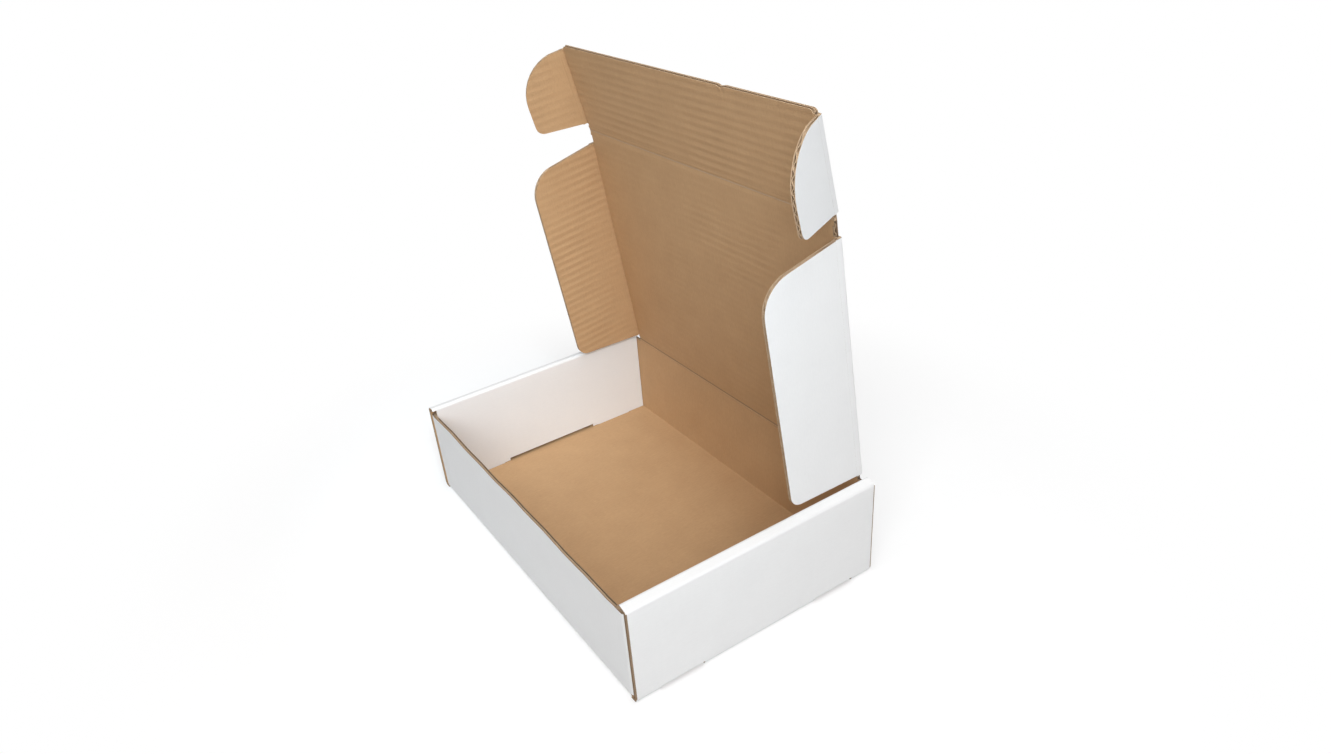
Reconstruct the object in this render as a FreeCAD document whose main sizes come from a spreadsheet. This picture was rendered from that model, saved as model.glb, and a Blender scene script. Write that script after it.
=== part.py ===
"""Corrugated mailer box, folded from one sheet of fluted board, lid standing open.

Millimetres, +Z up. The origin is the centre of the base, the front wall faces -Y and the
lid is hinged along the top of the back wall.
"""
import FreeCAD, Part
import math
import os

import Sketcher

# The driving sizes, in millimetres and degrees.
SIZES = {
    # the tray, outside
    "box_length": 330,
    "box_depth": 218,
    "wall_height": 83.5,
    "front_drop": 5,
    "hinge_drop": 0.5,
    "rim_rise": 2.5,
    # the board and how it folds
    "board": 3,
    "ply_gap": 0.3,
    "fold_inside": 0.6,
    "rim_fold": 2.4,
    "crease_gap": 0.5,
    "crease_width": 1.4,
    # flutes, open at the free edges of the side flaps
    "flute_pitch": 6.4,
    "liner": 0.4,
    "medium": 0.4,
    "crest_width": 1.2,
    "crease_crush": 3,
    # inner side panels and dust flaps
    "panel_end_gap": 0.5,
    "tab_width": 36,
    "tab_centre": 70,
    "tab_round": 2,
    "slot_clearance": 1,
    "recess_length": 92,
    "recess_rise": 2.5,
    "panel_overlap": 1,
    "dust_flap_length": 62,
    # lid and its side wings
    "lid_side_gap": 2.4,
    "lid_front_gap": 0.7,
    "wing_width": 66,
    "wing_hinge_gap": 4,
    "wing_hinge_taper": 10,
    "wing_hinge_round": 10,
    "wing_tuck_gap": 12,
    "wing_tuck_taper": 7.5,
    "wing_tuck_round": 24,
    # tuck flap and its side ears
    "tuck_length": 73,
    "tuck_round": 3,
    "ear_width": 43,
    "ear_gap": 6,
    "ear_taper": 5,
    "ear_near_round": 7,
    "ear_far_round": 36,
    # how the box stands in its rest pose
    "lid_angle": 82,
    "tuck_angle": 5.5,
    "wing_angle": 90,
    "ear_angle": 70,
}

class Term:
    """A number together with the sheet expression that gives it."""

    def __init__(self, value, text):
        self.value = float(value)
        self.text = text

    def __add__(self, other):
        return join(self, "+", other, lambda a, b: a + b)

    def __sub__(self, other):
        return join(self, "-", other, lambda a, b: a - b)

    def __mul__(self, other):
        return join(self, "*", other, lambda a, b: a * b)

    def __truediv__(self, other):
        return join(self, "/", other, lambda a, b: a / b)

    def __neg__(self):
        return join(term(0), "-", self, lambda a, b: a - b)


def term(number):
    return number if isinstance(number, Term) else Term(number, repr(float(number)))


def join(first, sign, second, work):
    first, second = term(first), term(second)
    return Term(work(first.value, second.value), f"({first.text} {sign} {second.text})")


def root(number):
    return Term(math.sqrt(number.value), f"sqrt({number.text})")


def floor(number):
    return Term(math.floor(number.value), f"floor({number.text})")


def fill_sheet(doc):
    """Writes the driving sizes to a sheet and returns them as terms."""
    sheet = doc.addObject("Spreadsheet::Sheet", "Sizes")
    named = {}
    for row, (name, value) in enumerate(SIZES.items(), 1):
        sheet.set(f"A{row}", name)
        sheet.set(f"B{row}", str(value))
        sheet.setAlias(f"B{row}", name)
        named[name] = Term(value, f"Sizes.{name}")
    doc.recompute()
    return named


def origin_plane(body, role):
    return next(part for part in body.Origin.OriginFeatures if part.Role == role)


def add_sketch(body, name, plane, offset=0):
    """An empty sketch on an origin plane of the body, moved along the plane's normal."""
    sketch = body.newObject("Sketcher::SketchObject", name)
    sketch.AttachmentSupport = [(origin_plane(body, plane), "")]
    sketch.MapMode = "FlatFace"
    sketch.setExpression("AttachmentOffset.Base.z", term(offset).text)
    return sketch


def tie(sketch, kind, places, length):
    """Adds one sized constraint and binds it to the sheet."""
    index = sketch.addConstraint(Sketcher.Constraint(kind, *places, length.value))
    sketch.setExpression(f"Constraints[{index}]", length.text)


def pin_point(sketch, geometry, spot, place):
    """Holds one point of a sketch at a place measured from the sketch's origin."""
    for kind, length in zip(("DistanceX", "DistanceY"), place):
        tie(sketch, kind, (-1, 1, geometry, spot), term(length))


def corner_trim(before, corner, after, radius):
    """Where a round of this radius leaves the two straight runs at a corner, and its centre."""
    back = (before - corner).normalize()
    ahead = (after - corner).normalize()
    half = back.getAngle(ahead) / 2
    reach = radius / math.tan(half)
    middle = (back + ahead).normalize()
    centre = corner + middle * (radius / math.sin(half))
    return corner + back * reach, corner + ahead * reach, centre


def closed_outline(sketch, corners):
    """Draws a closed outline of straight runs with rounded corners.

    Each corner is (x, y) or (x, y, radius). The corner points are held by sized
    constraints, and each round is tangent to its two runs.
    """
    places = [(term(c[0]), term(c[1])) for c in corners]
    radii = [term(c[2]) if len(c) == 3 else None for c in corners]
    points = [FreeCAD.Vector(x.value, y.value, 0) for x, y in places]
    count = len(points)
    starts, ends, centres = [], [], []
    for i, radius in enumerate(radii):
        if radius is None:
            trim = (points[i], points[i], None)
        else:
            trim = corner_trim(points[i - 1], points[i], points[(i + 1) % count], radius.value)
        ends.append(trim[0])
        starts.append(trim[1])
        centres.append(trim[2])
    runs = [
        sketch.addGeometry(Part.LineSegment(starts[i], ends[(i + 1) % count]), False)
        for i in range(count)
    ]
    for i, radius in enumerate(radii):
        incoming, outgoing = runs[i - 1], runs[i]
        if radius is None:
            sketch.addConstraint(Sketcher.Constraint("Coincident", incoming, 2, outgoing, 1))
            pin_point(sketch, outgoing, 1, places[i])
            continue
        middle = centres[i] + (points[i] - centres[i]).normalize() * radius.value
        arc = sketch.addGeometry(Part.Arc(ends[i], middle, starts[i]), False)
        near_start = sketch.getPoint(arc, 1).distanceToPoint(ends[i]) < 1e-6
        first, last = (1, 2) if near_start else (2, 1)
        sketch.addConstraint(Sketcher.Constraint("Tangent", incoming, 2, arc, first))
        sketch.addConstraint(Sketcher.Constraint("Tangent", outgoing, 1, arc, last))
        tie(sketch, "Radius", (arc,), radius)
        corner = sketch.addGeometry(Part.Point(points[i]), True)
        sketch.addConstraint(Sketcher.Constraint("PointOnObject", corner, 1, incoming))
        sketch.addConstraint(Sketcher.Constraint("PointOnObject", corner, 1, outgoing))
        pin_point(sketch, corner, 1, places[i])


def rectangle(low_x, low_y, high_x, high_y):
    return [(low_x, low_y), (high_x, low_y), (high_x, high_y), (low_x, high_y)]


def pad(body, sketch, length, symmetric=False):
    feature = body.newObject("PartDesign::Pad", sketch.Name + "_pad")
    feature.Profile = sketch
    feature.SideType = "Symmetric" if symmetric else "One side"
    feature.setExpression("Length", term(length).text)
    return feature


def pocket(body, sketch, length, symmetric=False, along_normal=False):
    """Cuts a sketch out of the body, and makes sure that it removed something."""
    before = body_volume(body)
    feature = body.newObject("PartDesign::Pocket", sketch.Name + "_cut")
    feature.Profile = sketch
    feature.SideType = "Symmetric" if symmetric else "One side"
    feature.Reversed = along_normal
    feature.setExpression("Length", term(length).text)
    if body_volume(body) > before - 1e-3:
        raise RuntimeError(f"{feature.Name} cuts nothing")
    return feature


def body_volume(body):
    body.Document.recompute()
    return body.Shape.Volume


def mirror_across_middle(body, name, features):
    """Copies features of a body to the other side of its YZ plane."""
    mirror = body.newObject("PartDesign::Mirrored", name)
    mirror.Originals = features
    mirror.MirrorPlane = (origin_plane(body, "YZ_Plane"), [""])
    body.Tip = mirror
    return mirror


def derived_sizes(s):
    """Faces and levels that follow from the driving sizes."""
    bend = s["board"] + s["fold_inside"]
    half_length = s["box_length"] / 2
    half_depth = s["box_depth"] / 2
    half_board = s["board"] / 2
    ply = s["board"] + s["ply_gap"]
    inner_face = half_length - ply * 2 - s["board"]
    slope = s["rim_rise"] / (half_length - inner_face)
    crease = half_board + s["crease_gap"]
    hinge_height = s["wall_height"] - s["hinge_drop"]
    s.update({
        "bend": bend,
        "half_length": half_length,
        "half_depth": half_depth,
        "half_board": half_board,
        "ply": ply,
        "inner_face": inner_face,
        "rim_slope": slope,
        "rim_under": s["board"] * root(slope * slope + 1),
        "crease": crease,
        "hinge_height": hinge_height,
        "front_height": s["wall_height"] - s["front_drop"],
        "back_height": hinge_height - crease,
        "fold_half_width": inner_face - s["lid_side_gap"] - half_board,
        "lid_length": s["box_depth"] - s["board"] * 2 - s["lid_front_gap"],
    })
    return s


def rim_top(s, x):
    """Height of the sloping rim's top face at a distance x from the middle."""
    return s["wall_height"] + (s["half_length"] - x) * s["rim_slope"]


def rim_bottom(s, x):
    return rim_top(s, x) - s["rim_under"]


def side_section(s):
    """Section of a side: floor fold, outer panel, rim, and the top of the inner panel."""
    outer, inner = s["half_length"], s["inner_face"]
    hollow_out, hollow_in = outer - s["board"], inner + s["board"]
    floor_edge = outer - s["bend"] - s["board"]
    leg = s["back_height"] + s["ply_gap"]
    return [
        (floor_edge, 0),
        (outer, 0, s["bend"]),
        (outer, s["wall_height"], s["rim_fold"]),
        (inner, rim_top(s, inner), s["rim_fold"]),
        (inner, leg),
        (hollow_in, leg),
        (hollow_in, rim_bottom(s, hollow_in)),
        (hollow_out, rim_bottom(s, hollow_out)),
        (hollow_out, s["board"], s["fold_inside"]),
        (floor_edge, s["board"]),
    ]


def end_section(s, height, facing):
    """Section of the front (facing -1) or back (facing 1) wall with its floor fold."""
    outer = s["half_depth"]
    floor_edge = outer - s["bend"] - s["board"]
    section = [
        (floor_edge, 0),
        (outer, 0, s["bend"]),
        (outer, height),
        (outer - s["board"], height),
        (outer - s["board"], s["board"], s["fold_inside"]),
        (floor_edge, s["board"]),
    ]
    return [(x * facing, *rest) for x, *rest in section]


def dust_flap_section(s, facing):
    """Plan of a dust flap and of the fold that joins it to the front or back wall."""
    outer = s["half_length"] - s["ply"]
    wall = s["half_depth"]
    fold_edge = outer - s["bend"] - s["board"]
    tip = wall - s["dust_flap_length"]
    section = [
        (fold_edge, wall),
        (outer, wall, s["bend"]),
        (outer, tip),
        (outer - s["board"], tip),
        (outer - s["board"], wall - s["board"], s["fold_inside"]),
        (fold_edge, wall - s["board"]),
    ]
    return [(x, y * facing, *rest) for x, y, *rest in section]


def inner_panel_outline(s):
    """Outline of an inner side panel, with its two tabs and the recess between them."""
    end = s["half_depth"] - s["board"] - s["panel_end_gap"]
    top = s["back_height"] + s["ply_gap"] + s["panel_overlap"]
    foot = s["ply"]
    tip = s["ply_gap"]
    recess_top = foot + s["recess_rise"]
    tab_out = s["tab_centre"] + s["tab_width"] / 2
    tab_in = s["tab_centre"] - s["tab_width"] / 2
    half_recess = s["recess_length"] / 2
    right = [
        (end, top),
        (end, foot),
        (tab_out, foot),
        (tab_out, tip, s["tab_round"]),
        (tab_in, tip, s["tab_round"]),
        (tab_in, foot),
        (half_recess, foot),
        (half_recess, recess_top, s["tab_round"]),
    ]
    left = [(-x, *rest) for x, *rest in reversed(right)]
    return right + left


def build_tray(doc, s):
    """Floor, four walls, rolled side walls and dust flaps, folded as one piece."""
    body = doc.addObject("PartDesign::Body", "tray")
    floor_x = s["half_length"] - s["bend"]
    floor_y = s["half_depth"] - s["bend"]
    floor_sketch = add_sketch(body, "floor", "XY_Plane")
    closed_outline(floor_sketch, rectangle(-floor_x, -floor_y, floor_x, floor_y))
    pad(body, floor_sketch, s["board"])

    side_sketch = add_sketch(body, "side", "XZ_Plane")
    closed_outline(side_sketch, side_section(s))
    side = pad(body, side_sketch, s["box_depth"], symmetric=True)
    mirror_across_middle(body, "other_side", [side])

    cut_tab_slots(body, s)
    add_inner_panels(body, s)
    for facing, name in ((-1, "front"), (1, "back")):
        add_end_wall(body, s, facing, name)
    return body


def cut_tab_slots(body, s):
    """Slots through the side folds, where the tabs of the inner panels lock."""
    low = s["inner_face"] - s["ply_gap"]
    high = s["half_length"] + s["board"]
    half = s["tab_width"] / 2 + s["slot_clearance"]
    for facing, name in ((-1, "front"), (1, "back")):
        middle = s["tab_centre"] * facing
        for side, word in ((-1, "left"), (1, "right")):
            sketch = add_sketch(body, f"slot_{name}_{word}", "XY_Plane")
            edges = sorted((low * side, high * side), key=lambda edge: edge.value)
            closed_outline(sketch, rectangle(edges[0], middle - half, edges[1], middle + half))
            pocket(body, sketch, s["board"], along_normal=True)


def add_inner_panels(body, s):
    sketch = add_sketch(body, "inner_panel", "YZ_Plane", s["inner_face"])
    closed_outline(sketch, inner_panel_outline(s))
    panel = pad(body, sketch, s["board"])
    mirror_across_middle(body, "other_inner_panel", [panel])


def add_end_wall(body, s, facing, name):
    """A front or back wall with the two dust flaps folded back from its ends."""
    height = s["front_height"] if facing < 0 else s["back_height"]
    rim_clear = s["wall_height"] - s["board"] - s["ply_gap"]
    flap_top = height if facing < 0 else rim_clear
    sketch = add_sketch(body, f"{name}_wall", "YZ_Plane")
    closed_outline(sketch, end_section(s, height, facing))
    fold_edge = s["half_length"] - s["ply"] - s["bend"]
    pad(body, sketch, fold_edge * 2, symmetric=True)
    flap_sketch = add_sketch(body, f"{name}_dust_flap", "XY_Plane", s["ply"])
    closed_outline(flap_sketch, dust_flap_section(s, facing))
    flap = pad(body, flap_sketch, flap_top - s["ply"])
    mirror_across_middle(body, f"{name}_dust_flap_other", [flap])


def add_fold_round(body, s, name, plane, length, offset=0, symmetric=False):
    """The round edge about which a panel turns, with its centre on the fold's axis."""
    sketch = add_sketch(body, name, plane, offset)
    circle = sketch.addGeometry(Part.Circle(FreeCAD.Vector(), FreeCAD.Vector(0, 0, 1), 1), False)
    sketch.addConstraint(Sketcher.Constraint("Coincident", circle, 3, -1, 1))
    tie(sketch, "Radius", (circle,), s["half_board"])
    return pad(body, sketch, length, symmetric)


def bevel(edge, s, side=1):
    """Triangle cut off a panel's inner face beside a fold, where the board is crushed."""
    inner = -s["half_board"]
    return [
        ((edge - s["crease_width"]) * side, inner),
        (edge * side, 0),
        (edge * side, inner),
    ]


def build_lid(doc, s):
    """The lid panel: +X to the left of the box, +Y away from the hinge, +Z outside."""
    body = doc.addObject("PartDesign::Body", "lid_panel")
    half_width = s["fold_half_width"] - s["crease"]
    length = s["lid_length"] - s["crease"]
    plate = add_sketch(body, "lid_plate", "XY_Plane")
    closed_outline(plate, rectangle(-half_width, 0, half_width, length))
    pad(body, plate, s["board"], symmetric=True)
    add_fold_round(body, s, "lid_hinge_round", "YZ_Plane", half_width * 2, symmetric=True)
    for side, name in ((-1, "right"), (1, "left")):
        sketch = add_sketch(body, f"lid_bevel_{name}", "XZ_Plane")
        closed_outline(sketch, bevel(half_width, s, side))
        pocket(body, sketch, s["box_depth"] * 2, symmetric=True)
    front = add_sketch(body, "lid_bevel_front", "YZ_Plane")
    closed_outline(front, bevel(length, s))
    pocket(body, front, s["box_length"], symmetric=True)
    return body


def build_tuck_flap(doc, s):
    """The tuck flap: +Y away from its fold, +Z outside."""
    body = doc.addObject("PartDesign::Body", "tuck_flap")
    half_width = s["fold_half_width"] - s["crease"]
    plate = add_sketch(body, "tuck_plate", "XY_Plane")
    closed_outline(plate, [
        (-half_width, 0),
        (half_width, 0),
        (half_width, s["tuck_length"], s["tuck_round"]),
        (-half_width, s["tuck_length"], s["tuck_round"]),
    ])
    pad(body, plate, s["board"], symmetric=True)
    add_fold_round(body, s, "tuck_fold_round", "YZ_Plane", half_width * 2, symmetric=True)
    for side, name in ((-1, "right"), (1, "left")):
        sketch = add_sketch(body, f"tuck_bevel_{name}", "XZ_Plane")
        closed_outline(sketch, bevel(half_width, s, side))
        pocket(body, sketch, s["box_depth"], symmetric=True)
    return body


def flute_cell(s, y, up):
    """Section of one open cell, wide at one liner (up 1 or -1) and narrow at the other."""
    liner_face = s["half_board"] - s["liner"]
    crest = liner_face - s["medium"]
    wide = (s["flute_pitch"] - s["crest_width"]) / 2 - s["medium"] / 2
    narrow = s["crest_width"] / 2 - s["medium"] / 4
    return [
        (y - wide, liner_face * up),
        (y + wide, liner_face * up),
        (y + narrow, -crest * up),
        (y - narrow, -crest * up),
    ]


def cut_flutes(body, s, name, first, stretch, reach):
    """Opens the flutes at a side flap's free edge, from the crushed crease outwards."""
    for up, word in ((1, "outer"), (-1, "inner")):
        sketch = add_sketch(body, f"{name}_{word}_flute", "YZ_Plane", s["crease_crush"])
        start = first + s["flute_pitch"] * (1 - up / 2)
        closed_outline(sketch, flute_cell(s, start, up))
        cell = pocket(body, sketch, reach, along_normal=True)
        row = body.newObject("PartDesign::LinearPattern", f"{name}_{word}_flutes")
        row.Originals = [cell]
        row.Direction = (sketch, ["H_Axis"])
        steps = floor((stretch - s["flute_pitch"] * 2) / s["flute_pitch"])
        row.setExpression("Length", (steps * s["flute_pitch"]).text)
        row.setExpression("Occurrences", (steps + 1).text)
        body.Tip = row


def build_wing(doc, s, name):
    """A lid wing: +X away from its fold, +Y towards the tuck flap."""
    body = doc.addObject("PartDesign::Body", name)
    near = s["wing_hinge_gap"]
    far = s["lid_length"] - s["wing_tuck_gap"]
    width = s["wing_width"]
    plate = add_sketch(body, name + "_plate", "XY_Plane")
    closed_outline(plate, [
        (0, near),
        (width, near + s["wing_hinge_taper"], s["wing_hinge_round"]),
        (width, far - s["wing_tuck_taper"], s["wing_tuck_round"]),
        (0, far),
    ])
    pad(body, plate, s["board"], symmetric=True)
    add_fold_round(body, s, name + "_fold_round", "XZ_Plane", far - near, -far)
    cut_flutes(body, s, name, near, far - near, width)
    return body


def build_ear(doc, s, name):
    """A tuck flap ear: +X away from its fold, +Y towards the tuck flap's free edge."""
    body = doc.addObject("PartDesign::Body", name)
    near = s["ear_gap"]
    far = s["tuck_length"] - s["tuck_round"]
    width = s["ear_width"]
    plate = add_sketch(body, name + "_plate", "XY_Plane")
    closed_outline(plate, [
        (0, near),
        (width, near + s["ear_taper"], s["ear_near_round"]),
        (width, far, s["ear_far_round"]),
        (0, far),
    ])
    pad(body, plate, s["board"], symmetric=True)
    add_fold_round(body, s, name + "_fold_round", "XZ_Plane", far - near, -far)
    cut_flutes(body, s, name, near, far - near, width)
    return body


def turned(axis, degrees, x=0, y=0, z=0):
    """A placement at (x, y, z), turned about an axis."""
    rotation = FreeCAD.Rotation(FreeCAD.Vector(*axis), degrees)
    return FreeCAD.Placement(FreeCAD.Vector(x, y, z), rotation)


def place_panels(s, bodies):
    """Stands the lid open and folds its flaps to the rest pose."""
    across, along, upright = (1, 0, 0), (0, 1, 0), (0, 0, 1)
    hinge_y = s["half_depth"].value - s["half_board"].value
    open_lid = turned(across, -s["lid_angle"].value, 0, hinge_y, s["hinge_height"].value)
    lid = open_lid * turned(upright, 180)
    tuck = lid * turned(across, -s["tuck_angle"].value, y=s["lid_length"].value)
    half = s["fold_half_width"].value
    bodies["lid_panel"].Placement = lid
    bodies["tuck_flap"].Placement = tuck
    for kind, carrier, angle in (("wing", lid, s["wing_angle"]), ("ear", tuck, s["ear_angle"])):
        bodies[kind + "_left"].Placement = carrier * turned(along, angle.value, x=half)
        bodies[kind + "_right"].Placement = carrier * turned(along, 180 - angle.value, x=-half)


def check_and_write(doc, bodies):
    """Stops on any failed object or unsound shape, then writes one file for each part."""
    doc.recompute()
    for item in doc.Objects:
        if "Invalid" in item.State or "Error" in item.State:
            raise RuntimeError(f"{item.Name} failed: {item.State}")
    os.makedirs("parts", exist_ok=True)
    for name, body in bodies.items():
        shape = body.Shape
        if shape.isNull() or not shape.isValid() or len(shape.Solids) != 1:
            raise RuntimeError(f"{name} is not one sound solid")
        print(f"{name}: volume {shape.Volume:.0f} mm3, {len(shape.Faces)} faces")
        shape.exportStep(f"parts/{name}.step")


def main():
    doc = FreeCAD.newDocument("mailer_box")
    s = derived_sizes(fill_sheet(doc))
    bodies = {"tray": build_tray(doc, s), "lid_panel": build_lid(doc, s)}
    bodies["tuck_flap"] = build_tuck_flap(doc, s)
    for side in ("left", "right"):
        bodies["wing_" + side] = build_wing(doc, s, "wing_" + side)
        bodies["ear_" + side] = build_ear(doc, s, "ear_" + side)
    for name, body in bodies.items():
        body.Label = name
    place_panels(s, bodies)
    check_and_write(doc, bodies)


main()
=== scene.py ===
import math

import bmesh
import bpy
import numpy as np
from mathutils import Matrix, Vector


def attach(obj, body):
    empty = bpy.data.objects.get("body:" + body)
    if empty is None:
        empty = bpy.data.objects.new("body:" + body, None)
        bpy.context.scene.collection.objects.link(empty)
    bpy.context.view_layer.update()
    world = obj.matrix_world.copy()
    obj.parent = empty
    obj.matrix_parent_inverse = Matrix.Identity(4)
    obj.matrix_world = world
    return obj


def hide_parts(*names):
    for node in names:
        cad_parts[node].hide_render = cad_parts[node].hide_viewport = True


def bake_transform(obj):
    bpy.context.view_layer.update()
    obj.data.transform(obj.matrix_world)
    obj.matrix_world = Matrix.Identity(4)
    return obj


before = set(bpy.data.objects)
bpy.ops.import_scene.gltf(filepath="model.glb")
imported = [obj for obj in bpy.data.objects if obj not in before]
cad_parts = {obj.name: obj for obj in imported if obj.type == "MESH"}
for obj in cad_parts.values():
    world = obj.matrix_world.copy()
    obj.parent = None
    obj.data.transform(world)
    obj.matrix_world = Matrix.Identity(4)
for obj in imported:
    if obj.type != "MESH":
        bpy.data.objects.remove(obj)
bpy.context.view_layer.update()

# A corrugated mailer box with its lid standing open. Each panel is rebuilt as two liners with a
# waved paper between them, and strips of liner lie over the creases, bent to their present angles.
# Lengths are in millimetres until Builder.finish turns them to metres.

# Sizes of the part's source, in millimetres and degrees.
HALF_X, HALF_Y = 165.0, 109.0
WALL_TOP, RIM_TOP, FRONT_TOP, BACK_TOP = 83.5, 86.0, 78.5, 81.0
BOARD, HALF_BOARD = 3.0, 1.5
PLY, PLY_GAP = 3.3, 0.3
LINER, PITCH = 0.4, 6.4
BEND_OUT, BEND_IN = 3.6, 0.6
RIM_OUT, RIM_IN = 2.4, 0.3
INNER_FACE = 155.4
SLOT_EDGE, FOLD_EDGE = 155.1, 158.1
PANEL_END = HALF_Y - BOARD - 0.5
TAB_CENTRE, TAB_HALF, SLOT_HALF, TAB_TIP = 70, 18, 19, 0.3
HALF_RECESS, RECESS_TOP = 46, PLY + 2.5
DUST_FLAP = 62
FOLD_X = 151.5
CREASE = 2.0
LID_LENGTH, TUCK_LENGTH, TUCK_ROUND = 211.3, 73.0, 3
WING_LOW, WING_HIGH = 4, LID_LENGTH - 12
WING_OUTLINE = [(0, WING_LOW), (66, 14), (66, WING_HIGH - 7.5), (0, WING_HIGH)], (0, 10, 24, 0)
EAR_LOW, EAR_HIGH = 6, 70
EAR_OUTLINE = [(0, EAR_LOW), (43, 11), (43, EAR_HIGH), (0, EAR_HIGH)], (0, 7, 36, 0)
HINGE = (0.0, 107.5, 83.0)
LID_ANGLE, TUCK_ANGLE, WING_ANGLE, EAR_ANGLE = 82.0, 5.5, 90.0, 70.0

# How the meshes are divided.
OVERLAP_X = 150.0  # the floor sheet and the rolled sides meet here
WAVE_STEP, PLAIN_STEP = 0.8, 12
FOLD_STEPS = 8
FULL_WIDTH, ONE_SIDE = np.linspace(-1, 1, 17), np.linspace(0, 1, 7)

# Material slots of every mesh: the two liners, cut edges and the waved paper.
# In the darkened cut-edge colour this slot also paints shade: on the tray's edges, the side
# panels' ends and the crease lines.
WHITE_SIDE, KRAFT_SIDE, CUT_AND_SHADE, PAPER = range(4)


# ---------------------------------------------------------------- materials


class Graph:
    """Short calls for building one material's nodes."""

    def __init__(self, name):
        self.material = bpy.data.materials.new(name)
        self.material.use_nodes = True
        self.tree = self.material.node_tree
        self.shader = self.tree.nodes["Principled BSDF"]

    def node(self, kind, **settings):
        made = self.tree.nodes.new(kind)
        for key, value in settings.items():
            setattr(made, key, value)
        return made

    def link(self, source, target):
        self.tree.links.new(source, target)

    def math(self, operation, first, second=None):
        made = self.node("ShaderNodeMath", operation=operation)
        for slot, value in enumerate((first, second)):
            if value is None:
                continue
            if isinstance(value, (int, float)):
                made.inputs[slot].default_value = value
            else:
                self.link(value, made.inputs[slot])
        return made.outputs[0]

    def noise(self, vector, scale, detail=3.0, roughness=0.55):
        made = self.node("ShaderNodeTexNoise")
        made.inputs["Scale"].default_value = scale
        made.inputs["Detail"].default_value = detail
        made.inputs["Roughness"].default_value = roughness
        self.link(vector, made.inputs["Vector"])
        return made.outputs["Fac"]

    def stretch(self, vector, scale):
        made = self.node("ShaderNodeMapping")
        made.inputs["Scale"].default_value = scale
        self.link(vector, made.inputs["Vector"])
        return made.outputs["Vector"]

    def spread(self, value, low, high, to_low=0.0, to_high=1.0):
        made = self.node("ShaderNodeMapRange")
        self.link(value, made.inputs["Value"])
        limits = {"From Min": low, "From Max": high, "To Min": to_low, "To Max": to_high}
        for name, number in limits.items():
            made.inputs[name].default_value = number
        return made.outputs["Result"]

    def mix(self, factor, first, second):
        made = self.node("ShaderNodeMix", data_type="RGBA")
        self.link(factor, made.inputs["Factor"])
        for slot, value in (("A", first), ("B", second)):
            socket = [s for s in made.inputs if s.name == slot and s.type == "RGBA"][0]
            if isinstance(value, tuple):
                socket.default_value = (*value, 1.0)
            else:
                self.link(value, socket)
        return [s for s in made.outputs if s.type == "RGBA"][0]

    def surface(self, colour, rough, shine):
        self.link(colour, self.shader.inputs["Base Color"])
        self.shader.inputs["Roughness"].default_value = rough
        self.shader.inputs["Specular IOR Level"].default_value = shine

    def bump(self, height, strength, distance):
        made = self.node("ShaderNodeBump")
        made.inputs["Strength"].default_value = strength
        made.inputs["Distance"].default_value = distance
        self.link(height, made.inputs["Height"])
        self.link(made.outputs["Normal"], self.shader.inputs["Normal"])


def liner_material(name, tones, ridge, shade, rough, flecks):
    """Paper on fluted board. tones: its pale, dark and fleck colours.

    ridge sets how much the flutes under the paper show as relief, and shade how strongly their ridges
    are painted in as stripes of painted shade.
    """
    pale, dark, fleck = tones
    g = Graph(name)
    sheet = g.node("ShaderNodeTexCoord").outputs["UV"]
    parts = g.node("ShaderNodeSeparateXYZ")
    g.link(sheet, parts.inputs[0])
    wave = g.math("SINE", g.math("MULTIPLY", parts.outputs["X"], 2 * math.pi / (PITCH / 1000)))
    patches = g.spread(g.noise(g.stretch(sheet, (9, 16, 1)), 1.0, 2), 0.35, 0.65, 0.2, 1.0)
    wave = g.math("MULTIPLY", wave, patches)
    cloud = g.spread(g.noise(sheet, 38, 4), 0.3, 0.7)
    fibre = g.spread(g.noise(g.stretch(sheet, (260, 1500, 1)), 1.0, 4, 0.7), 0.32, 0.68)
    streak = g.spread(g.noise(g.stretch(sheet, (55, 900, 1)), 1.0, 2, 0.5), 0.3, 0.7)
    tone = g.math("ADD", g.math("MULTIPLY", cloud, 0.22), g.math("MULTIPLY", fibre, 0.42))
    tone = g.math("ADD", tone, g.math("MULTIPLY", streak, 0.16))
    # painted shade: the colour darkens and lightens along the flutes' pitch, as their ridges would
    # under light
    tone = g.math("ADD", tone, g.math("MULTIPLY", g.math("ADD", wave, 1.0), shade))
    colour = g.mix(tone, dark, pale)
    spots = g.spread(g.noise(g.stretch(sheet, (900, 420, 1)), 1.0, 2, 0.5), 0.68, 0.78)
    g.surface(g.mix(g.math("MULTIPLY", spots, flecks), colour, fleck), rough, 0.25)
    height = g.math("ADD", g.math("MULTIPLY", wave, ridge), g.math("MULTIPLY", fibre, 0.035))
    height = g.math("ADD", height, g.math("MULTIPLY", g.noise(sheet, 70, 2), 0.12))
    g.bump(height, 0.7, 0.0004)
    return g.material


def raw_material(name, pale, dark):
    """The board's cut edges and the fluted paper inside it."""
    g = Graph(name)
    place = g.node("ShaderNodeTexCoord").outputs["Object"]
    fibre = g.noise(place, 1400, 4, 0.7)
    cloud = g.noise(place, 90, 3)
    fine = g.math("MULTIPLY", g.spread(fibre, 0.3, 0.7), 0.6)
    g.surface(g.mix(g.math("ADD", fine, g.math("MULTIPLY", cloud, 0.4)), dark, pale), 0.9, 0.15)
    g.bump(fibre, 0.5, 0.0003)
    return g.material


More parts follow.
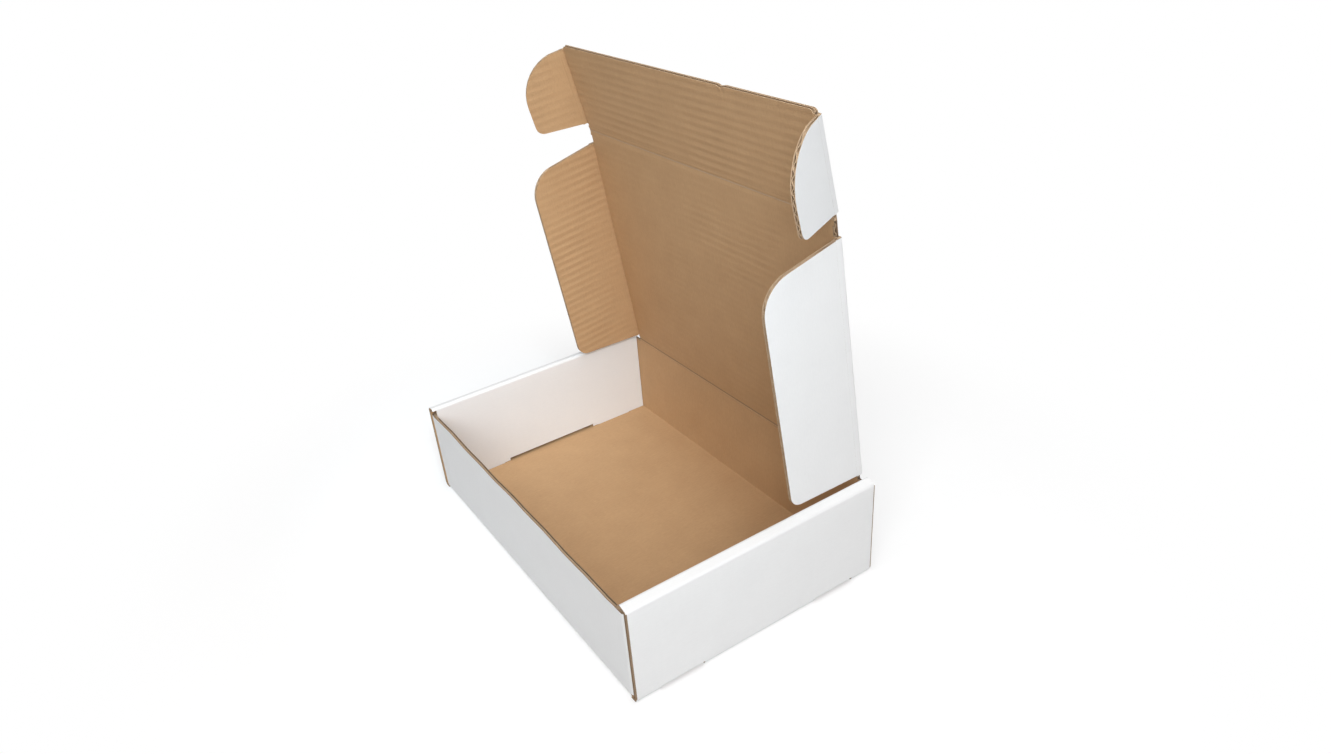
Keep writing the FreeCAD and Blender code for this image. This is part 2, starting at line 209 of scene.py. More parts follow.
WHITE_TONES = (0.85, 0.85, 0.847), (0.79, 0.79, 0.79), (0.62, 0.58, 0.53)
KRAFT_TONES = (0.59, 0.38, 0.205), (0.445, 0.276, 0.144), (0.30, 0.18, 0.095)
WHITE = liner_material("white_liner", WHITE_TONES, 0.08, 0.012, rough=0.62, flecks=0.12)
KRAFT = liner_material("kraft_liner", KRAFT_TONES, 0.04, 0.010, rough=0.74, flecks=0.30)
LID_KRAFT = liner_material("lid_kraft_liner", KRAFT_TONES, 0.24, 0.045, rough=0.74, flecks=0.30)
RIBBED_KRAFT = liner_material("ribbed_kraft_liner", KRAFT_TONES, 0.55, 0.10, rough=0.74, flecks=0.30)
# painted shade: this cut-edge colour is darkened for the shade on the tray's and lid's cut edges and
# draws the crease strips' dark lines; the pale one below is the edge's own colour.
SHADED_RAW = raw_material("raw_edge", (0.38, 0.27, 0.18), (0.20, 0.14, 0.09))
PALE_RAW = raw_material("pale_raw_edge", (0.62, 0.46, 0.31), (0.42, 0.29, 0.18))
MEDIUM = raw_material("fluted_paper", (0.56, 0.40, 0.26), (0.36, 0.25, 0.155))


# ---------------------------------------------------------------- mesh building


def spaced(low, high, step):
    """Places from low to high, about a step apart."""
    count = max(1, int(round(abs(high - low) / step)))
    return [low + (high - low) * k / count for k in range(count + 1)]


def merge(*lists):
    return sorted({round(v, 4) for values in lists for v in values})


def spaced_between(stops, step):
    """Places a step apart that keep every stop."""
    return merge(*[spaced(a, b, step) for a, b in zip(stops, stops[1:])])


def fillet(points, radii, steps):
    """Samples a polyline with rounded corners. Each corner gives the same number of points."""
    places = []
    last = len(points) - 1
    for i, (point, radius) in enumerate(zip(points, radii)):
        here = np.array(point, float)
        if i in (0, last) or radius == 0:
            places.append(here)
            continue
        before, after = np.array(points[i - 1], float) - here, np.array(points[i + 1], float) - here
        back, ahead = before / np.linalg.norm(before), after / np.linalg.norm(after)
        half = math.acos(np.clip(back @ ahead, -1, 1)) / 2
        middle = (back + ahead) / np.linalg.norm(back + ahead)
        centre = here + middle * radius / math.sin(half)
        reach = radius / math.tan(half)
        start, end = here + back * reach - centre, here + ahead * reach - centre
        turn = math.atan2(start[0] * end[1] - start[1] * end[0], start @ end)
        for k in range(steps + 1):
            a = turn * k / steps
            places.append(centre + np.array([
                start[0] * math.cos(a) - start[1] * math.sin(a),
                start[0] * math.sin(a) + start[1] * math.cos(a),
            ]))
    return np.array(places)


def divide(outer, inner, longest):
    """Adds stations so that no run of the path is longer than asked."""
    outs, ins = [outer[0]], [inner[0]]
    for i in range(1, len(outer)):
        out_run, in_run = outer[i] - outer[i - 1], inner[i] - inner[i - 1]
        run = max(np.linalg.norm(out_run), np.linalg.norm(in_run))
        count = max(1, int(math.ceil(run / longest)))
        for k in range(1, count + 1):
            outs.append(outer[i - 1] + out_run * k / count)
            ins.append(inner[i - 1] + in_run * k / count)
    return np.array(outs), np.array(ins)


def arc_length(outer, inner):
    middle = (outer + inner) / 2
    return np.concatenate([[0.0], np.cumsum(np.linalg.norm(np.diff(middle, axis=0), axis=1))])


def layer_shape(kind, run, swing, half):
    """Top, bottom and materials of one layer of the board, at distances run across the flutes."""
    if kind == "outer":
        top, bottom, slots = HALF_BOARD, HALF_BOARD - LINER, (WHITE_SIDE, CUT_AND_SHADE, CUT_AND_SHADE)
    elif kind == "inner":
        top, bottom, slots = LINER - HALF_BOARD, -HALF_BOARD, (CUT_AND_SHADE, KRAFT_SIDE, CUT_AND_SHADE)
    else:
        centre = swing * np.sin(2 * math.pi * run / PITCH)
        top, bottom, slots = centre + half, centre - half, (PAPER, PAPER, PAPER)
    top = np.broadcast_to(np.asarray(top, float), run.shape)
    bottom = np.broadcast_to(np.asarray(bottom, float), run.shape)
    return top, bottom, slots


class Builder:
    """Collects layers of board in one mesh, with a material for each face and sheet coordinates."""

    def __init__(self):
        self.points, self.faces, self.slots, self.sheet = [], [], [], []
        self.count = 0

    def layer(self, outer, inner, across, top, bottom, cells, place, slots, sheet):
        """One closed layer between two heights of a bent sheet. slots: top, bottom, edges."""
        n, m = across.shape
        rows = []
        for height in (top, bottom):
            share = ((height + HALF_BOARD) / BOARD)[..., None]
            flat = inner[:, None, :] + (outer - inner)[:, None, :] * share
            rows.append(np.concatenate([flat, across[..., None]], axis=2).reshape(-1, 3))
        index = np.arange(n * m).reshape(n, m)
        low = n * m
        faces, kinds = [], []
        i, j = np.nonzero(cells)
        a, b, c, d = index[i, j], index[i + 1, j], index[i + 1, j + 1], index[i, j + 1]
        faces.append(np.stack([a, b, c, d], 1))
        kinds.append(np.full(len(i), slots[0]))
        faces.append(np.stack([a, d, c, b], 1) + low)
        kinds.append(np.full(len(i), slots[1]))
        padded = np.pad(cells, 1)
        sides = (
            ((0, 1), lambda p, q: (index[p, q], index[p, q + 1])),
            ((2, 1), lambda p, q: (index[p + 1, q + 1], index[p + 1, q])),
            ((1, 0), lambda p, q: (index[p + 1, q], index[p, q])),
            ((1, 2), lambda p, q: (index[p, q + 1], index[p + 1, q + 1])),
        )
        for (di, dj), ends in sides:
            open_side = ~padded[i + di, j + dj]
            first, second = ends(i[open_side], j[open_side])
            faces.append(np.stack([first, second, second + low, first + low], 1))
            kinds.append(np.full(len(first), slots[2]))
        faces, kinds = np.concatenate(faces), np.concatenate(kinds)
        points = np.concatenate(rows)
        flat_sheet = np.concatenate([sheet.reshape(-1, 2)] * 2)
        used, fresh = np.unique(faces, return_inverse=True)
        self.points.append(place(points[used]))
        self.sheet.append(flat_sheet[used])
        self.faces.append(fresh.reshape(faces.shape) + self.count)
        self.slots.append(kinds)
        self.count += len(used)

    def board(self, outer, inner, columns, place, cells=None, waves="path", phase=0.0, start=0.0):
        """Liner, fluted paper and liner, bent along a path of paired points.

        columns(stations, kind) gives the across coordinates of each station, and
        cells(outer, inner, across) says which cells of the sheet are there. waves says whether
        the flutes follow one another along the path ("path") or its breadth ("breadth").
        """
        for kind in ("outer", "inner", "flutes"):
            step = WAVE_STEP if kind == "flutes" and waves == "path" else 16.0
            outs, ins = divide(outer, inner, step)
            across = columns(outs, kind)
            length = np.repeat((arc_length(outs, ins) + start)[:, None], across.shape[1], 1)
            present = np.ones((across.shape[0] - 1, across.shape[1] - 1), bool)
            if cells is not None:
                present = cells(outs, ins, across)
            run, along = (length, across) if waves == "path" else (across, length)
            sheet = np.stack([run, along], 2) / 1000
            top, bottom, slots = layer_shape(kind, run + phase, swing=0.91, half=0.2)
            self.layer(outs, ins, across, top, bottom, present, place, slots, sheet)

    def ribbon(self, outer, inner, columns, place, slots):
        """One plain strip along a path of paired points."""
        across = np.repeat(np.array(columns, float)[None, :], len(outer), 0)
        length = np.repeat(arc_length(outer, inner)[:, None], len(columns), 1)
        top = np.full(across.shape, HALF_BOARD)
        cells = np.ones((len(outer) - 1, len(columns) - 1), bool)
        sheet = np.stack([length, across], 2) / 1000
        self.layer(outer, inner, across, top, -top, cells, place, slots, sheet)

    def finish(self, name, kraft=KRAFT, raw=SHADED_RAW):
        points = np.concatenate(self.points) / 1000
        faces = np.concatenate(self.faces)
        mesh = bpy.data.meshes.new(name)
        mesh.from_pydata(points.tolist(), [], faces.tolist())
        for material in (WHITE, kraft, raw, MEDIUM):
            mesh.materials.append(material)
        kinds = np.concatenate(self.slots).astype(np.int32)
        mesh.polygons.foreach_set("material_index", kinds)
        sheet = np.concatenate(self.sheet)
        layer = mesh.uv_layers.new(name="sheet")
        corners = np.zeros(len(mesh.loops), np.int32)
        mesh.loops.foreach_get("vertex_index", corners)
        layer.data.foreach_set("uv", sheet[corners].astype(np.float32).ravel())
        mesh.validate()
        made = bpy.data.objects.new(name, mesh)
        bpy.context.scene.collection.objects.link(made)
        work = bmesh.new()
        work.from_mesh(mesh)
        bmesh.ops.recalc_face_normals(work, faces=work.faces)
        work.to_mesh(mesh)
        work.free()
        return made


def smooth_by_angle(made, degrees=32):
    work = bmesh.new()
    work.from_mesh(made.data)
    limit = math.radians(degrees)
    for face in work.faces:
        face.smooth = True
    for edge in work.edges:
        edge.smooth = len(edge.link_faces) == 2 and edge.calc_face_angle(0) < limit
    work.to_mesh(made.data)
    work.free()


# ---------------------------------------------------------------- the tray

WAVE_DEPTH = 14  # how far below the front wall's top its waves fade out
RAW_AND_SHADED_END = 0.8  # the brown band at the upright ends of the outer side panels: raw edge and painted shade


def wave_front_edge(points):
    """Makes the front wall's raw top edge uneven."""
    x = points[:, 0]
    wave = 0.50 * np.sin(x * 0.041 + 0.6) + 0.42 * np.sin(x * 0.11 + 2.0) + 0.20 * np.sin(x * 0.31)
    high = np.clip((points[:, 2] - (FRONT_TOP - WAVE_DEPTH)) / WAVE_DEPTH, 0, 1)
    points[:, 2] += np.where(points[:, 1] < 0, wave * high, 0)
    return points


def middles(values):
    return (values[1:] + values[:-1]) / 2


def lay_floor_and_ends(made):
    """The floor, the front wall and the back wall in one run, between the side walls."""
    face = HALF_Y - BOARD
    outer = fillet(
        [(-HALF_Y, FRONT_TOP), (-HALF_Y, 0), (HALF_Y, 0), (HALF_Y, BACK_TOP)],
        (0, BEND_OUT, BEND_OUT, 0), FOLD_STEPS)
    inner = fillet(
        [(-face, FRONT_TOP), (-face, BOARD), (face, BOARD), (face, BACK_TOP)],
        (0, BEND_IN, BEND_IN, 0), FOLD_STEPS)
    end_x = HALF_X - PLY - BEND_OUT
    breadth = np.array(merge((-end_x, end_x), spaced(-OVERLAP_X, OVERLAP_X, 10)))

    def columns(stations, kind):
        return np.repeat(breadth[None, :], len(stations), 0)

    def cells(outs, ins, across):
        y, z = middles(outs[:, 0]), middles(outs[:, 1])
        bend = (np.abs(y) > HALF_Y - BEND_OUT) & (z < BEND_OUT)
        side = np.abs(middles(across[0])) > OVERLAP_X
        return ~side[None, :] | bend[:, None]

    def place(points):
        return wave_front_edge(np.stack([points[:, 2], points[:, 0], points[:, 1]], 1))

    made.board(outer, inner, columns, place, cells, waves="path")


def lay_rolled_sides(made):
    """Each side in one run: floor fold, outer panel, rim, inner panel and its tabs."""
    rise = (RIM_TOP - WALL_TOP) / (HALF_X - INNER_FACE)
    under = BOARD * math.sqrt(1 + rise * rise)
    hollow_out, hollow_in = HALF_X - BOARD, INNER_FACE + BOARD
    outer = fillet(
        [(OVERLAP_X, 0), (SLOT_EDGE, 0), (FOLD_EDGE, 0), (HALF_X, 0), (HALF_X, WALL_TOP),
         (INNER_FACE, RIM_TOP), (INNER_FACE, RECESS_TOP), (INNER_FACE, PLY), (INNER_FACE, TAB_TIP)],
        (0, 0, 0, BEND_OUT, RIM_OUT, RIM_OUT, 0, 0, 0), FOLD_STEPS)
    inner = fillet(
        [(OVERLAP_X, BOARD), (SLOT_EDGE, BOARD), (FOLD_EDGE, BOARD), (hollow_out, BOARD),
         (hollow_out, WALL_TOP + rise * BOARD - under),
         (hollow_in, WALL_TOP + rise * (HALF_X - hollow_in) - under),
         (hollow_in, RECESS_TOP), (hollow_in, PLY), (hollow_in, TAB_TIP)],
        (0, 0, 0, BEND_IN, RIM_IN, RIM_IN, 0, 0, 0), FOLD_STEPS)
    centres = (-TAB_CENTRE, TAB_CENTRE)
    slots = [(middle - SLOT_HALF, middle + SLOT_HALF) for middle in centres]
    tabs = [(middle - TAB_HALF, middle + TAB_HALF) for middle in centres]
    stops = [v for pair in slots + tabs for v in pair]
    ends = (HALF_Y, HALF_Y - RAW_AND_SHADED_END, HALF_Y - BEND_OUT, PANEL_END, HALF_RECESS)
    breadth = merge(ends, [-v for v in ends], stops)

    def columns(stations, kind):
        values = spaced_between(breadth, WAVE_STEP if kind == "flutes" else PLAIN_STEP)
        return np.repeat(np.array(values)[None, :], len(stations), 0)

    def cells(outs, ins, across):
        x, z = middles(outs[:, 0])[:, None], middles(outs[:, 1])[:, None]
        deep = middles(ins[:, 0])[:, None]
        y = middles(across[0])[None, :]
        panel = (np.abs(x - INNER_FACE) < 0.05) & (deep > x)
        slot = sum((y > low) & (y < high) for low, high in slots) > 0
        tab = sum((y > low) & (y < high) for low, high in tabs) > 0
        low_floor = (z < BEND_OUT) & ~panel
        here = ~(low_floor & (x > SLOT_EDGE) & slot)
        here &= ~(low_floor & (x < FOLD_EDGE) & (np.abs(y) > HALF_Y - BEND_OUT))
        here &= ~(panel & (np.abs(y) > PANEL_END))
        here &= ~(panel & (z < PLY) & ~tab)
        here &= ~(panel & (z < RECESS_TOP) & (np.abs(y) < HALF_RECESS))
        return here

    for side in (-1, 1):
        def place(points, side=side):
            return np.stack([points[:, 0] * side, points[:, 2], points[:, 1]], 1)
        made.board(outer, inner, columns, place, cells, waves="breadth", phase=1.1, start=OVERLAP_X)


def lay_dust_flaps(made):
    """The flaps folded back between the side plies from the ends of the front and back walls."""
    edge = HALF_X - PLY
    tip = HALF_Y - DUST_FLAP
    face = HALF_Y - BOARD
    outer = fillet([(OVERLAP_X, HALF_Y), (edge, HALF_Y), (edge, tip)], (0, BEND_OUT, 0), FOLD_STEPS)
    inner = fillet(
        [(OVERLAP_X, face), (edge - BOARD, face), (edge - BOARD, tip)], (0, BEND_IN, 0), FOLD_STEPS)
    for facing, top in ((-1, FRONT_TOP), (1, WALL_TOP - BOARD - PLY_GAP)):
        def columns(stations, kind, top=top):
            values = spaced(BEND_OUT, top, WAVE_STEP if kind == "flutes" else PLAIN_STEP)
            return np.repeat(np.array(values)[None, :], len(stations), 0)

        for side in (-1, 1):
            def place(points, side=side, facing=facing):
                moved = np.stack([points[:, 0] * side, points[:, 1] * facing, points[:, 2]], 1)
                return wave_front_edge(moved)
            made.board(outer, inner, columns, place, waves="breadth", phase=-BEND_OUT, start=OVERLAP_X)


def paint_raw_and_shaded_ends(tray):
    """Gives the outer side panels' upright ends a band in the darkened cut-edge colour: partly their
    raw edge, partly painted shade of the gap beside the front and back walls' folds.
    """
    for face in tray.data.polygons:
        x, y, z = face.center * 1000
        at_end = abs(x) > HALF_X - 0.2 and abs(y) > HALF_Y - RAW_AND_SHADED_END and z > BEND_OUT
        if face.material_index == WHITE_SIDE and at_end:
            face.material_index = CUT_AND_SHADE


def build_tray():
    made = Builder()
    lay_floor_and_ends(made)
    lay_rolled_sides(made)
    lay_dust_flaps(made)
    tray = made.finish("tray_board")
    paint_raw_and_shaded_ends(tray)
    smooth_by_angle(tray)
    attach(tray, "tray")
    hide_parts("tray")


# ---------------------------------------------------------------- the moving panels

CORE_RADIUS, CORE_SIDES = 1.32, 14
TRIM_AT_HINGE, TRIM_AT_FOLD = 2.2, 1.4  # the inner liner stops short of a fold
DENT_X, DENT_HALF, DENT_REACH = -60, 2.6, 7


def turn(axis, degrees, place=(0, 0, 0)):
    return Matrix.Translation(Vector(place)) @ Matrix.Rotation(math.radians(degrees), 4, axis)


LID = turn("X", -LID_ANGLE, HINGE) @ turn("Z", 180)
TUCK = LID @ turn("X", -TUCK_ANGLE, (0, LID_LENGTH, 0))
FLAPS = {
    "wing_left": LID @ turn("Y", WING_ANGLE, (FOLD_X, 0, 0)),
    "wing_right": LID @ turn("Y", 180 - WING_ANGLE, (-FOLD_X, 0, 0)),
    "ear_left": TUCK @ turn("Y", EAR_ANGLE, (FOLD_X, 0, 0)),
    "ear_right": TUCK @ turn("Y", 180 - EAR_ANGLE, (-FOLD_X, 0, 0)),
}


def in_frame(matrix, shape=None):
    """Takes (path, height, across) points of a flat panel to the world: path is its +Y."""
    grid = np.array(matrix)

    def place(points):
        local = np.stack([points[:, 2], points[:, 0], points[:, 1]], 1)
        if shape is not None:
            local = shape(local)
        return local @ grid[:3, :3].T + grid[:3, 3]
    return place


def flat_panel(made, low, high, reach, matrix, shares=FULL_WIDTH, trims=(0, 0), side_trim=0.0,
               stations=(), shape=None, turned=False):
    """A flat sandwich panel. reach(y) is how far it goes across at each place along it.

    shares: the columns as shares of the reach. trims and side_trim cut the inner liner back
    at the panel's ends and sides, and the waved paper at its sides.
    turned: the panel's +Z is its inner side, as on the flaps whose frame is turned over.
    """
    out_z = -HALF_BOARD if turned else HALF_BOARD
    side_cuts = {"outer": 0.0, "inner": side_trim, "flutes": side_trim * 0.75}
    ends = merge((low, high), [s for s in stations if low < s < high])
    for kind, side_cut in side_cuts.items():
        values = spaced_between(ends, WAVE_STEP if kind == "flutes" else PLAIN_STEP)
        if kind == "inner":
            start, stop = ends[0] + trims[0], ends[-1] - trims[1]
            values = merge([v for v in values if start < v < stop], (start, stop))
        y = np.array(values)
        outer = np.stack([y, np.full(len(y), out_z)], 1)
        inner = np.stack([y, np.full(len(y), -out_z)], 1)
        limit = np.maximum(np.array([reach(v) for v in y]) - side_cut, 0.01)
        across = limit[:, None] * shares[None, :]
        run = np.repeat(y[:, None], len(shares), 1)
        top, bottom, slots = layer_shape(kind, run, swing=0.77, half=0.34)
        cells = np.ones((len(y) - 1, len(shares) - 1), bool)
        sheet = np.stack([run, across], 2) / 1000
        made.layer(outer, inner, across, top, bottom, cells, in_frame(matrix, shape), slots, sheet)


def fold_core(made, low, high, matrix, across):
    """The crushed board inside a crease: a round bar about the fold's axis."""
    grid = np.array(matrix)
    points = []
    for t in (low, high):
        for k in range(CORE_SIDES):
            a = 2 * math.pi * k / CORE_SIDES
            u, v = math.cos(a) * CORE_RADIUS, math.sin(a) * CORE_RADIUS
            points.append((t, u, v) if across else (u, t, v))
    points = np.array(points) @ grid[:3, :3].T + grid[:3, 3]
    faces = [
        (k, (k + 1) % CORE_SIDES, CORE_SIDES + (k + 1) % CORE_SIDES, CORE_SIDES + k)
        for k in range(CORE_SIDES)
    ]
    for base in (0, CORE_SIDES):
        for k in range(1, CORE_SIDES // 2):
            far = base + CORE_SIDES - k
            faces.append((base + k - 1, base + k, far - 1, far))
    made.points.append(points)
    made.sheet.append(np.zeros((len(points), 2)))
    made.faces.append(np.array(faces) + made.count)
    made.slots.append(np.full(len(faces), CUT_AND_SHADE))
    made.count += len(points)


def outline_reach(points, radii):
    """How far a flap reaches from its fold at each place along the fold, and its stations."""
    line = fillet(points, radii, 10)
    return (lambda y: float(np.interp(y, line[:, 1], line[:, 0]))), [float(v) for v in line[1:-1, 1]]


def build_lid():
    made = Builder()
    half = FOLD_X - CREASE
    flat_panel(made, 0.0, LID_LENGTH - CREASE, lambda y: half, LID,
               trims=(TRIM_AT_HINGE, TRIM_AT_FOLD), side_trim=TRIM_AT_FOLD)
    fold_core(made, -half, half, LID, True)
    lid = made.finish("lid_board", LID_KRAFT)
    smooth_by_angle(lid)
    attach(lid, "lid")
    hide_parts("lid_panel")


def dent(local):
    """A small dent in the tuck flap's free edge."""
    off = local[:, 0] - DENT_X
    near_edge = np.clip((local[:, 1] - TUCK_LENGTH + DENT_REACH) / DENT_REACH, 0, 1)
    depth = np.exp(-(off / DENT_HALF) ** 2) * near_edge
    local[:, 1] -= 0.9 * depth
    local[:, 2] -= 0.5 * depth * np.sin(off / 1.4)
    return local


def build_tuck():
    made = Builder()
    half = FOLD_X - CREASE
    corner = fillet(
        [(half, 0), (half, TUCK_LENGTH), (half - 30, TUCK_LENGTH)], (0, TUCK_ROUND, 0), FOLD_STEPS)[:-1]
    stations = [float(v) for v in corner[1:, 1]]
    stations += [TUCK_LENGTH - DENT_REACH, TUCK_LENGTH - DENT_REACH / 2]
    flat_panel(made, 0.0, TUCK_LENGTH, lambda y: float(np.interp(y, corner[:, 1], corner[:, 0])), TUCK,
               shares=np.array(merge(FULL_WIDTH, np.linspace(-0.45, -0.35, 21))),
               trims=(TRIM_AT_HINGE, 0), side_trim=TRIM_AT_FOLD, stations=stations, shape=dent)
    fold_core(made, -half, half, TUCK, True)
    tuck = made.finish("tuck_board", RIBBED_KRAFT, PALE_RAW)
    smooth_by_angle(tuck)
    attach(tuck, "tuck")
    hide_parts("tuck_flap")


def build_flaps():
    for name, outline in (("wing", WING_OUTLINE), ("ear", EAR_OUTLINE)):
        reach, stations = outline_reach(*outline)
        low, high = (WING_LOW, WING_HIGH) if name == "wing" else (EAR_LOW, EAR_HIGH)
        for side in ("left", "right"):
            made = Builder()
            node = f"{name}_{side}"
            flat_panel(made, low, high, reach, FLAPS[node],
                       shares=ONE_SIDE, stations=stations, turned=side == "right")
            fold_core(made, low, high, FLAPS[node], False)
            piece = made.finish(node + "_board", RIBBED_KRAFT, PALE_RAW)
            smooth_by_angle(piece)
            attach(piece, node)
            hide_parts(node)


# ---------------------------------------------------------------- the creases

STRIP_REACH = 4.2  # how far the strips over a crease go from its axis
STRIP_THICK = 0.16
STRIP_FACE = HALF_BOARD + 0.03


def build_crease(name, a, point, axis, span, side_a, side_b, kraft=KRAFT):
    """The liners over a fold: an outer and an inner strip that bend between two bodies.

    side_a and side_b: the direction away from the fold, and the outward normal, on each body.
    """
    point, axis = Vector(point), Vector(axis).normalized()
    ua, na, ub, nb = (Vector(v).normalized() for v in (*side_a, *side_b))
    upright = axis.cross(na).normalized()

    def place(points):
        return np.array([list(point + na * p[0] + upright * p[1] + axis * p[2]) for p in points])

    def lay(label, slots, stations, facing):
        paths = []
        for thick in (0, STRIP_THICK):
            spots = [away + normal * (height - thick) * facing for away, normal, height in stations]
            paths.append(np.array([(v.dot(na), v.dot(upright)) for v in spots]))
        made = Builder()
        made.ribbon(*paths, spaced(*span, PLAIN_STEP), place, slots)
        # painted shade: the strips' undersides and edges take the darkened cut-edge colour, so each
        # crease shows a thin dark line.
        piece = made.finish(f"{name}_{label}", kraft)
        smooth_by_angle(piece, 60)
        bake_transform(piece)

    angle = na.angle(nb)
    outside = [(ua * STRIP_REACH, na, STRIP_FACE)]
    for k in range(FOLD_STEPS + 1):
        s = k / FOLD_STEPS
        normal = na * math.sin((1 - s) * angle) + nb * math.sin(s * angle)
        outside.append((Vector(), normal.normalized(), STRIP_FACE))
    outside.append((ub * STRIP_REACH, nb, STRIP_FACE))
    lay("outside", (WHITE_SIDE, CUT_AND_SHADE, CUT_AND_SHADE), outside, 1)

    # a crease that lies nearly flat is a shallow soft groove, and a sharp fold crushes the liner more
    dip = 0.48 + 0.52 * min(1.0, angle / math.radians(80))
    middle = (na + nb).normalized()
    groove = ((STRIP_REACH, 0.0), (3.0, 0.12), (1.9, 0.55))
    inside = [(ua * away, na, STRIP_FACE - deep * dip) for away, deep in groove]
    for normal, deep in ((na * 2 + middle, 0.81), (middle, 0.91), (nb * 2 + middle, 0.81)):
        inside.append((Vector(), normal.normalized(), STRIP_FACE - deep * dip))
    inside += [(ub * away, nb, STRIP_FACE - deep * dip) for away, deep in reversed(groove)]
    lay("inside", (KRAFT_SIDE, CUT_AND_SHADE, CUT_AND_SHADE), inside, -1)


def direction(matrix, vector):
    return matrix.to_3x3() @ Vector(vector)


def build_creases():
    half = FOLD_X - CREASE
    out, along, across = (0, 0, 1), (0, 1, 0), (1, 0, 0)
    lid_out, tuck_out = direction(LID, out), direction(TUCK, out)
    build_crease("lid_crease", "tray", HINGE, across, (-half, half),
                 ((0, 0, -1), (0, 1, 0)), (direction(LID, along), lid_out))
    build_crease("tuck_crease", "lid", TUCK.translation, across, (-half, half),
                 (direction(LID, (0, -1, 0)), lid_out), (direction(TUCK, along), tuck_out))
    for kind, carrier, body, span in (
        ("wing", LID, "lid", (WING_LOW, WING_HIGH)),
        ("ear", TUCK, "tuck", (EAR_LOW, EAR_HIGH)),
    ):
        for side, sign in (("left", 1), ("right", -1)):
            flap = FLAPS[f"{kind}_{side}"]
            build_crease(f"{kind}_{side}_crease", body, flap.translation,
                         direction(carrier, along), span,
                         (direction(carrier, (-sign, 0, 0)), direction(carrier, out)),
                         (direction(flap, across), direction(flap, out) * sign), RIBBED_KRAFT)


# ---------------------------------------------------------------- scene


def build_stage():
    """A white floor that takes a soft shadow near the object and fades into the backdrop."""
    z = -0.0001
    mesh = bpy.data.meshes.new("floor")
    mesh.from_pydata([(-4, -4, z), (4, -4, z), (4, 4, z), (-4, 4, z)], [], [(0, 1, 2, 3)])
    floor = bpy.data.objects.new("floor", mesh)
    bpy.context.scene.collection.objects.link(floor)
    g = Graph("floor")
    g.shader.inputs["Base Color"].default_value = (0.65, 0.65, 0.65, 1)
    g.shader.inputs["Roughness"].default_value = 1.0
    g.shader.inputs["Specular IOR Level"].default_value = 0.0
    path = g.node("ShaderNodeLightPath")
    seen = g.math("MAXIMUM", path.outputs["Is Camera Ray"], path.outputs["Is Glossy Ray"])
    seen = g.math("MAXIMUM", seen, path.outputs["Is Transmission Ray"])
    lit = g.node("ShaderNodeBsdfDiffuse")
    lit.inputs["Color"].default_value = (0.66, 0.66, 0.66, 1)
    glow = g.node("ShaderNodeEmission")
    glow.inputs["Strength"].default_value = 0.34
    plain = g.node("ShaderNodeEmission")
    plain.inputs["Strength"].default_value = 1.0
    for light in (glow, plain):
        light.inputs["Color"].default_value = (1, 1, 1, 1)
    both = g.node("ShaderNodeAddShader")
    g.link(lit.outputs[0], both.inputs[0])
    g.link(glow.outputs[0], both.inputs[1])
    distance = g.node("ShaderNodeVectorMath", operation="LENGTH")
    g.link(g.node("ShaderNodeNewGeometry").outputs["Position"], distance.inputs[0])
    fade = g.node("ShaderNodeMapRange", interpolation_type="SMOOTHSTEP")
    fade.inputs["From Min"].default_value = 0.24
    fade.inputs["From Max"].default_value = 0.46
    g.link(distance.outputs["Value"], fade.inputs["Value"])
    far = g.node("ShaderNodeMixShader")
    shown = g.node("ShaderNodeMixShader")
    for target, sources in (
        (far, (fade.outputs["Result"], both.outputs[0], plain.outputs[0])),
        (shown, (seen, g.shader.outputs[0], far.outputs[0])),
    ):
        for slot, source in enumerate(sources):
            g.link(source, target.inputs[slot])
    output = [n for n in g.tree.nodes if n.type == "OUTPUT_MATERIAL"][0]
    g.link(shown.outputs[0], output.inputs["Surface"])
    mesh.materials.append(g.material)


def build_world():
    """Dim all-round light, behind a backdrop that looks white."""
    world = bpy.data.worlds.new("studio")
    bpy.context.scene.world = world
    world.use_nodes = True
    tree = world.node_tree
    background = tree.nodes["Background"]
    path = tree.nodes.new("ShaderNodeLightPath")
    mix = tree.nodes.new("ShaderNodeMix")
    mix.data_type = "RGBA"
    dim, bright = [s for s in mix.inputs if s.type == "RGBA"][:2]
    dim.default_value = (0.15, 0.15, 0.152, 1)
    bright.default_value = (1, 1, 1, 1)
    highest = tree.nodes.new("ShaderNodeMath")
    highest.operation = "MAXIMUM"
    tree.links.new(path.outputs["Is Camera Ray"], highest.inputs[0])
    tree.links.new(path.outputs["Is Glossy Ray"], highest.inputs[1])
    tree.links.new(highest.outputs[0], mix.inputs["Factor"])
    tree.links.new([s for s in mix.outputs if s.type == "RGBA"][0], background.inputs["Color"])
    background.inputs["Strength"].default_value = 1.0


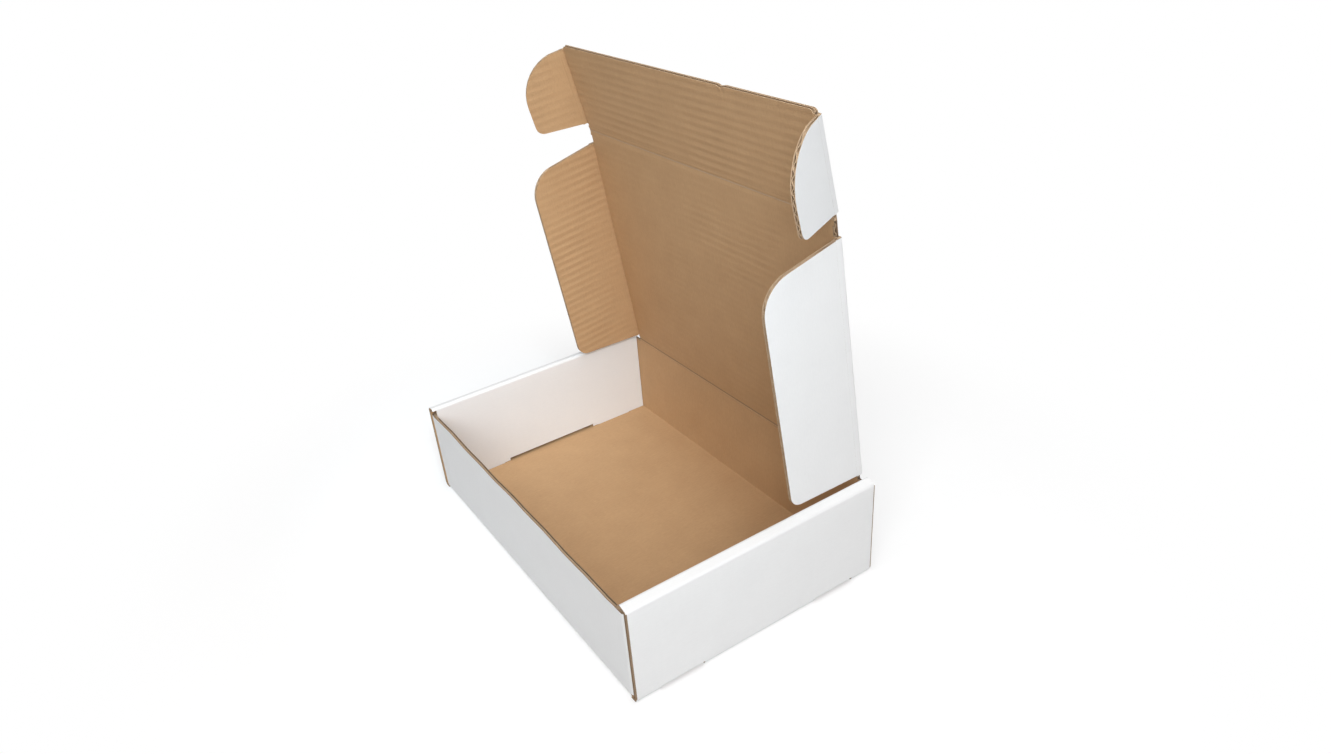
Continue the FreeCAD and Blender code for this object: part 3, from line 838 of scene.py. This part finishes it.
def add_lamp(name, kind, place, aim, power, **settings):
    data = bpy.data.lights.new(name, kind)
    data.energy = power
    for key, value in settings.items():
        setattr(data, key, value)
    lamp = bpy.data.objects.new(name, data)
    lamp.location = place
    lamp.rotation_euler = (Vector(aim) - Vector(place)).to_track_quat("-Z", "Y").to_euler()
    bpy.context.scene.collection.objects.link(lamp)


def build_light():
    build_world()
    for name, place, size, power in (
        ("top_light", (0.3, -0.1, 1.9), 1.4, 18.5),
        ("side_light", (1.6, -0.5, 1.25), 1.2, 11.8),
        ("front_light", (1.3, -1.3, 1.2), 1.2, 18.8),
        ("fill_light", (-1.8, -0.4, 1.0), 1.2, 1.5),
        ("back_light", (-0.9, 1.7, 1.2), 1.2, 6.0),
    ):
        add_lamp(name, "AREA", place, (0, 0, 0.1), power, shape="SQUARE", size=size)
    # a soft beam over the right wall, on the left wall's inner side and the left wing
    add_lamp("inner_light", "SPOT", (0.9, -0.3, 1.0), (-0.155, -0.02, 0.08), 26.0,
             color=(0.74, 0.89, 1.0), spot_size=math.radians(19), spot_blend=0.9,
             shadow_soft_size=0.12)


def build_camera():
    """The camera that was fitted to the photograph."""
    azimuth, elevation, roll = (math.radians(v) for v in (59.276, 31.790, 5.364))
    level = math.cos(elevation)
    back = Vector((math.sin(azimuth) * level, -math.cos(azimuth) * level, math.sin(elevation)))
    forward = -back
    right = forward.cross(Vector((0, 0, 1))).normalized()
    down = forward.cross(right)
    across = right * math.cos(roll) + down * math.sin(roll)
    under = down * math.cos(roll) - right * math.sin(roll)
    data = bpy.data.cameras.new("camera")
    data.sensor_fit = "HORIZONTAL"
    data.sensor_width = 36
    data.lens = 956.08 * 36 / 1331
    data.shift_x = 0.01065
    data.shift_y = 0.02738
    data.clip_end = 50
    camera = bpy.data.objects.new("camera", data)
    basis = Matrix((across, -under, back)).transposed().to_4x4()
    camera.matrix_world = Matrix.Translation((0.567801, -0.315475, 0.511380)) @ basis
    bpy.context.scene.collection.objects.link(camera)
    bpy.context.scene.camera = camera


build_camera()
build_tray()
build_lid()
build_tuck()
build_flaps()
build_creases()
build_stage()
build_light()
bpy.context.scene.view_settings.view_transform = "Standard"
